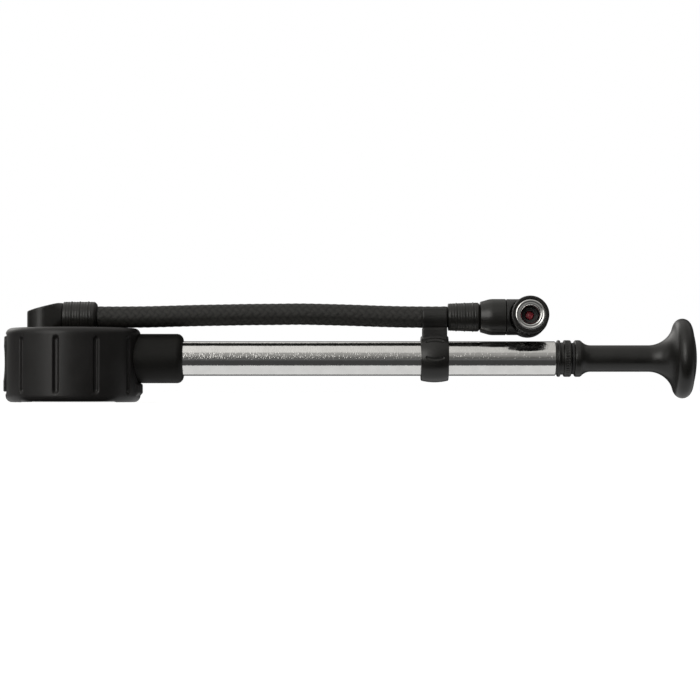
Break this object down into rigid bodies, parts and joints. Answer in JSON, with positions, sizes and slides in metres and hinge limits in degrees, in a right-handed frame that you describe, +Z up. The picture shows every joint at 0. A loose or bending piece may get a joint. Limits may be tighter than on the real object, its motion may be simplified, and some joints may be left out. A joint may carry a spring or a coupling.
{
  "type": "high pressure hand pump",
  "caption": "Hand pump with a dial gauge in a rubber boot, a polished barrel, a sliding plunger, and a hose clipped along the barrel with a screw-on valve head.",
  "frame": {"origin": "Middle of the pump's length and width, on the level face that the gauge boot rests on. The hose and valve head are left out of that middle.", "axes": "+X along the barrel from the gauge to the handle, +Z up, from the dial to the hose, -Y the side that the valve head faces."},
  "size_m": [0.2998, 0.0582, 0.0457],
  "materials": {
    "moulded_black": "satin, finely textured moulding",
    "boot_rubber": "satin, soft moulded rubber",
    "seal_rubber": "matt",
    "bezel_steel": "turned",
    "lens_clear": "clear, polished",
    "dial_white": "matt white enamel with plain numbers",
    "needle_red": "satin paint",
    "movement_brass": "turned and milled",
    "screw_steel": "zinc plated",
    "spring_steel": "drawn wire",
    "ferrule_black": "semi-gloss with fine raised rings",
    "hose_braid": "fine textile braid over a rubber tube",
    "collar_black": "semi-gloss, ribbed",
    "insert_chrome": "nickel plated brass",
    "pusher_red": "gloss",
    "barrel_aluminium": "polished",
    "rod_steel": "ground and polished",
    "ring_nylon": "natural nylon"
  },
  "bodies": {
    "pump_body": {"gauge_housing": "moulded_black", "grip_boot": "boot_rubber", "bezel_ring": "bezel_steel", "lens": "lens_clear", "lens_gasket": "seal_rubber", "dial_face": "dial_white", "dial_screws": "screw_steel", "hairspring": "spring_steel", "bourdon_tube": "movement_brass", "gauge_block": "movement_brass", "movement_back_plate": "movement_brass", "movement_front_plate": "movement_brass", "movement_pillars": "movement_brass", "block_screws": "screw_steel", "bleed_seat": "movement_brass", "bleed_spring": "spring_steel", "hose_clip": "moulded_black", "barrel": "barrel_aluminium", "barrel_seal": "seal_rubber", "check_seat": "movement_brass", "check_spring": "spring_steel", "end_cap": "moulded_black", "rod_wiper": "seal_rubber"},
    "plunger": {"handle": "moulded_black", "piston_rod": "rod_steel", "piston": "movement_brass", "piston_cup": "seal_rubber", "piston_ring": "ring_nylon", "piston_screw": "screw_steel", "bumper": "seal_rubber"},
    "bleed_valve": {"bleed_button": "moulded_black", "bleed_stem": "screw_steel"},
    "check_valve": {"check_disc": "seal_rubber"},
    "sector": {"sector_gear": "movement_brass"},
    "needle_shaft": {"needle": "needle_red", "pinion_arbor": "movement_brass"},
    "link": {"gauge_link": "movement_brass"},
    "hose_arm": {"swivel_elbow": "moulded_black", "swivel_seals": "seal_rubber", "swivel_clip": "spring_steel", "gauge_ferrule": "ferrule_black", "hose": "hose_braid", "head_ferrule": "ferrule_black", "swivel_nut": "ferrule_black", "head_nipple": "movement_brass", "head_seal": "seal_rubber"},
    "valve_head": {"head_body": "moulded_black", "chuck_seal": "seal_rubber", "valve_pusher": "pusher_red", "collar_clip": "spring_steel"},
    "chuck": {"chuck_collar": "collar_black", "chuck_insert": "insert_chrome"}
  },
  "joints": [
    {"name": "plunger_slide", "type": "slide", "parent": "pump_body", "child": "plunger", "axis": [1, 0, 0], "range_m": [0, 0.147]},
    {"name": "bleed_press", "type": "slide", "parent": "pump_body", "child": "bleed_valve", "axis": [1, 0, 0], "range_m": [0, 0.0015], "stiffness_N_per_m": 900, "springref_m": -0.002, "deforming": ["bleed_spring"]},
    {"name": "check_lift", "type": "slide", "parent": "pump_body", "child": "check_valve", "axis": [-1, 0, 0], "range_m": [0, 0.0008], "stiffness_N_per_m": 60, "springref_m": -0.001, "deforming": ["check_spring"]},
    {"name": "sector_swing", "type": "hinge", "parent": "pump_body", "child": "sector", "pos_m": [-0.12614, -0.00885, 0.0109], "axis": [0, 0, -1], "range_deg": [0, 54], "stiffness_Nm_per_rad": 0.0015, "springref_deg": -2.86},
    {"name": "needle_turn", "type": "hinge", "parent": "pump_body", "child": "needle_shaft", "pos_m": [-0.11994, 0, 0.0109], "axis": [0, 0, 1], "range_deg": [0, 270]},
    {"name": "link_turn", "type": "hinge", "parent": "sector", "child": "link", "pos_m": [-0.12669, -0.01281, 0.0109], "axis": [0, 0, -1], "range_deg": [-54, 0]},
    {"name": "hose_swivel", "type": "hinge", "parent": "pump_body", "child": "hose_arm", "pos_m": [-0.13254, 0, 0.0249], "axis": [0, 0, 1], "range_deg": [0, 70]},
    {"name": "head_swivel", "type": "hinge", "parent": "hose_arm", "child": "valve_head", "pos_m": [0.07726, 0, 0.03685], "axis": [-1, 0, 0], "range_deg": [-30, 190]},
    {"name": "chuck_spin", "type": "hinge", "parent": "valve_head", "child": "chuck", "pos_m": [0.07726, 0, 0.03685], "axis": [0, -0.9981, 0.061], "continuous": true}
  ],
  "couplings": [
    {"joint": "needle_turn", "follows": "sector_swing", "ratio": 5},
    {"joint": "link_turn", "follows": "sector_swing", "ratio": -1}
  ]
}
